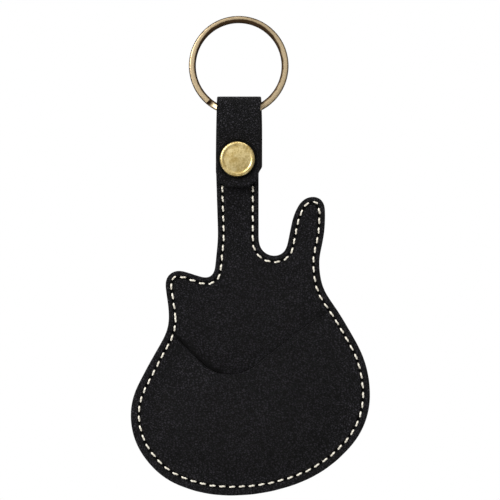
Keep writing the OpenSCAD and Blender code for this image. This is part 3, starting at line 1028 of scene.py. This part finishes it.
def spun(name, y, section, finish):
    """A turned piece. Its section is [radius, height, corner radius], with height to the front of y."""
    line = rounded(section)
    mesh = bmesh.new()
    rings = []
    for r, h in line:
        steps = 1 if r < 1e-6 else SPIN_STEPS
        angles = [math.tau * i / SPIN_STEPS for i in range(steps)]
        rings.append([
            mesh.verts.new(((stud_x + r * math.cos(a)) * MM, (y - h) * MM, (stud_z + r * math.sin(a)) * MM))
            for a in angles
        ])
    for a, b in zip(rings, rings[1:] + rings[:1]):
        if len(a) == len(b) == 1:
            continue
        for i in range(SPIN_STEPS):
            j = (i + 1) % SPIN_STEPS
            corners = [a[i % len(a)], a[j % len(a)], b[j % len(b)], b[i % len(b)]]
            mesh.faces.new(list(dict.fromkeys(corners)))
    bmesh.ops.recalc_face_normals(mesh, faces=mesh.faces)
    piece = finished(name, mesh)
    piece.data.set_sharp_from_angle(angle=math.radians(40))
    piece.data.materials.append(finish)
    return piece


# %% Cap, socket, stud and eyelet
cap_r = (cap_high.x - cap_low.x) / 2
socket_low, socket_high = box_mm("snap_socket")
stud_low, stud_high = box_mm("snap_stud")
eyelet_low, eyelet_high = box_mm("snap_eyelet")
tongue_face = tongue_low.y
cap_h = tongue_face - cap_low.y
floor_y = cap_high.y - tongue_face
socket_depth = socket_high.y - socket_low.y
stud_h = front_low.y - stud_low.y
eyelet_len = back_high.y - eyelet_low.y
flange_h = eyelet_high.y - back_high.y
socket_r = (socket_high.x - socket_low.x) / 2
stud_r = (stud_high.x - stud_low.x) / 2
eyelet_r = (eyelet_high.x - eyelet_low.x) / 2
print(f"cap {2 * cap_r:.1f} across and {cap_h:.1f} high; socket {2 * socket_r:.1f}, stud {2 * stud_r:.1f}, "
      f"eyelet {2 * eyelet_r:.1f}")

cap_button = spun("cap_button", tongue_face, [
    [0, cap_h - 0.02, 0], [1.7, cap_h - 0.04, 6], [3.6, cap_h - 0.14, 2], [4.05, cap_h - 0.16, 0.3],
    [4.45, cap_h, 0.5], [cap_r - 0.02, cap_h - 0.12, 0.55], [cap_r, 0.1, 0.25], [cap_r - 0.35, 0, 0.1],
    [cap_r - 0.4, cap_h - 0.75, 0.2], [1.5, cap_h - 0.6, 0], [1.5, -floor_y, 0], [0, -floor_y, 0],
], stud_finish)
socket_ring = spun("socket_ring", socket_low.y, [
    [1.55, 0, 0], [1.55, -0.5, 0.1], [2.2, -0.5, 0.1], [2.2, -socket_depth + 0.4, 0.3],
    [2.35, -socket_depth, 0.15], [3, -socket_depth, 0.35], [3.2, -0.8, 0.3], [socket_r - 0.4, -0.6, 0.2],
    [socket_r, -0.35, 0.2], [socket_r, 0, 0],
], stud_finish)
stud_post = spun("stud_post", front_low.y, [
    [0, stud_h, 0], [1.9, stud_h, 0.7], [2, stud_h - 0.55, 0.25], [1.75, 0.75, 0.25], [1.8, 0.42, 0.15],
    [stud_r - 0.6, 0.42, 0.3], [stud_r, 0.25, 0.2], [stud_r, 0, 0], [1.5, 0, 0], [1.5, 1.3, 0], [0, 1.3, 0],
], stud_finish)
eyelet_cap = spun("eyelet_cap", back_high.y, [
    [0.9, -flange_h + 0.25, 0.2], [1.3, -flange_h, 0.3], [eyelet_r - 0.3, -flange_h, 0.4],
    [eyelet_r, -0.15, 0.2], [eyelet_r, 0, 0], [1.4, 0, 0], [1.4, eyelet_len, 0], [0.9, eyelet_len, 0],
], stud_finish)
for piece, node, body in (
    (cap_button, "snap_cap", "tongue"), (socket_ring, "snap_socket", "tongue"),
    (stud_post, "snap_stud", "holder"), (eyelet_cap, "snap_eyelet", "holder"),
):
    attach(piece, body)
    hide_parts(node)

# %% [markdown]
# ## Camera, light and floor
#
# The camera looks level from the front, from far enough away that the holder is hardly foreshortened.
# A long lens gives the same field as a short one close by, with straighter sides. The world is white
# to the camera and a dim grey to everything else, so that it doesn't wash out the black leather.

# %% Camera
bpy.context.scene.view_settings.view_transform = "Standard"
VIEW_WIDTH = 150.5
CAMERA_AWAY = 800
FILM = 36
camera = bpy.data.objects.new("camera", bpy.data.cameras.new("camera"))
camera.data.sensor_width = FILM
camera.data.lens = FILM * CAMERA_AWAY / VIEW_WIDTH
camera.location = Vector((3.4, -CAMERA_AWAY, -68.3)) * MM
camera.rotation_euler = (math.pi / 2, 0, 0)
bpy.context.scene.collection.objects.link(camera)
bpy.context.scene.camera = camera
print(f"lens {camera.data.lens:.0f} mm")

# %% Light
world = bpy.data.worlds.new("white_room")
world.use_nodes = True
bpy.context.scene.world = world
room = Tree(world.node_tree)
to_camera = room.node("ShaderNodeLightPath", output="Is Camera Ray")
way = room.node("ShaderNodeTexCoord", output="Object")
height = room.node("ShaderNodeSeparateXYZ", None, {"Vector": way}, "Z")
dim = room.blended(height.ramp(-0.5, 0.6), (0.10, 0.10, 0.10, 1), (0.55, 0.55, 0.56, 1))
seen = room.blended(to_camera, dim, (1, 1, 1, 1))
world.node_tree.links.new(seen.socket, world.node_tree.nodes["Background"].inputs["Color"])


def softbox(name, place, size, watts, colour=(1, 1, 1)):
    """A soft area light that faces the middle of the holder. Place and size are in millimetres."""
    light = bpy.data.lights.new(name, "AREA")
    light.shape = "RECTANGLE"
    light.size, light.size_y = size[0] * MM, size[1] * MM
    light.energy = watts
    light.color = colour
    lamp = bpy.data.objects.new(name, light)
    lamp.location = Vector(place) * MM
    aim = Vector((3, 0, -75)) * MM
    lamp.rotation_euler = (aim - lamp.location).to_track_quat("-Z", "Y").to_euler()
    bpy.context.scene.collection.objects.link(lamp)


softbox("key_upper_left", (-430, -520, 230), (280, 280), 4.2)
softbox("front_fill", (160, -1100, 300), (900, 600), 1.0)
softbox("top_light", (60, -160, 460), (420, 240), 1.2)


# %% Floor
FLOOR_Z = -300
FLOOR_HALF = 700
floor_mesh = bpy.data.meshes.new("floor")
corners = [(-1, -1), (1, -1), (1, 1), (-1, 1)]
floor_mesh.from_pydata(
    [(x * FLOOR_HALF * MM, y * FLOOR_HALF * MM, FLOOR_Z * MM) for x, y in corners], [], [(0, 1, 2, 3)]
)
floor = bpy.data.objects.new("floor", floor_mesh)
bpy.context.scene.collection.objects.link(floor)
pale = Finish("pale_floor", Roughness=0.85)
paper = pale.noise(3.0, 2.0)
pale.set(Base_Color=pale.blended(paper, (0.72, 0.72, 0.71, 1), (0.76, 0.76, 0.75, 1)))
floor_mesh.materials.append(pale.material)
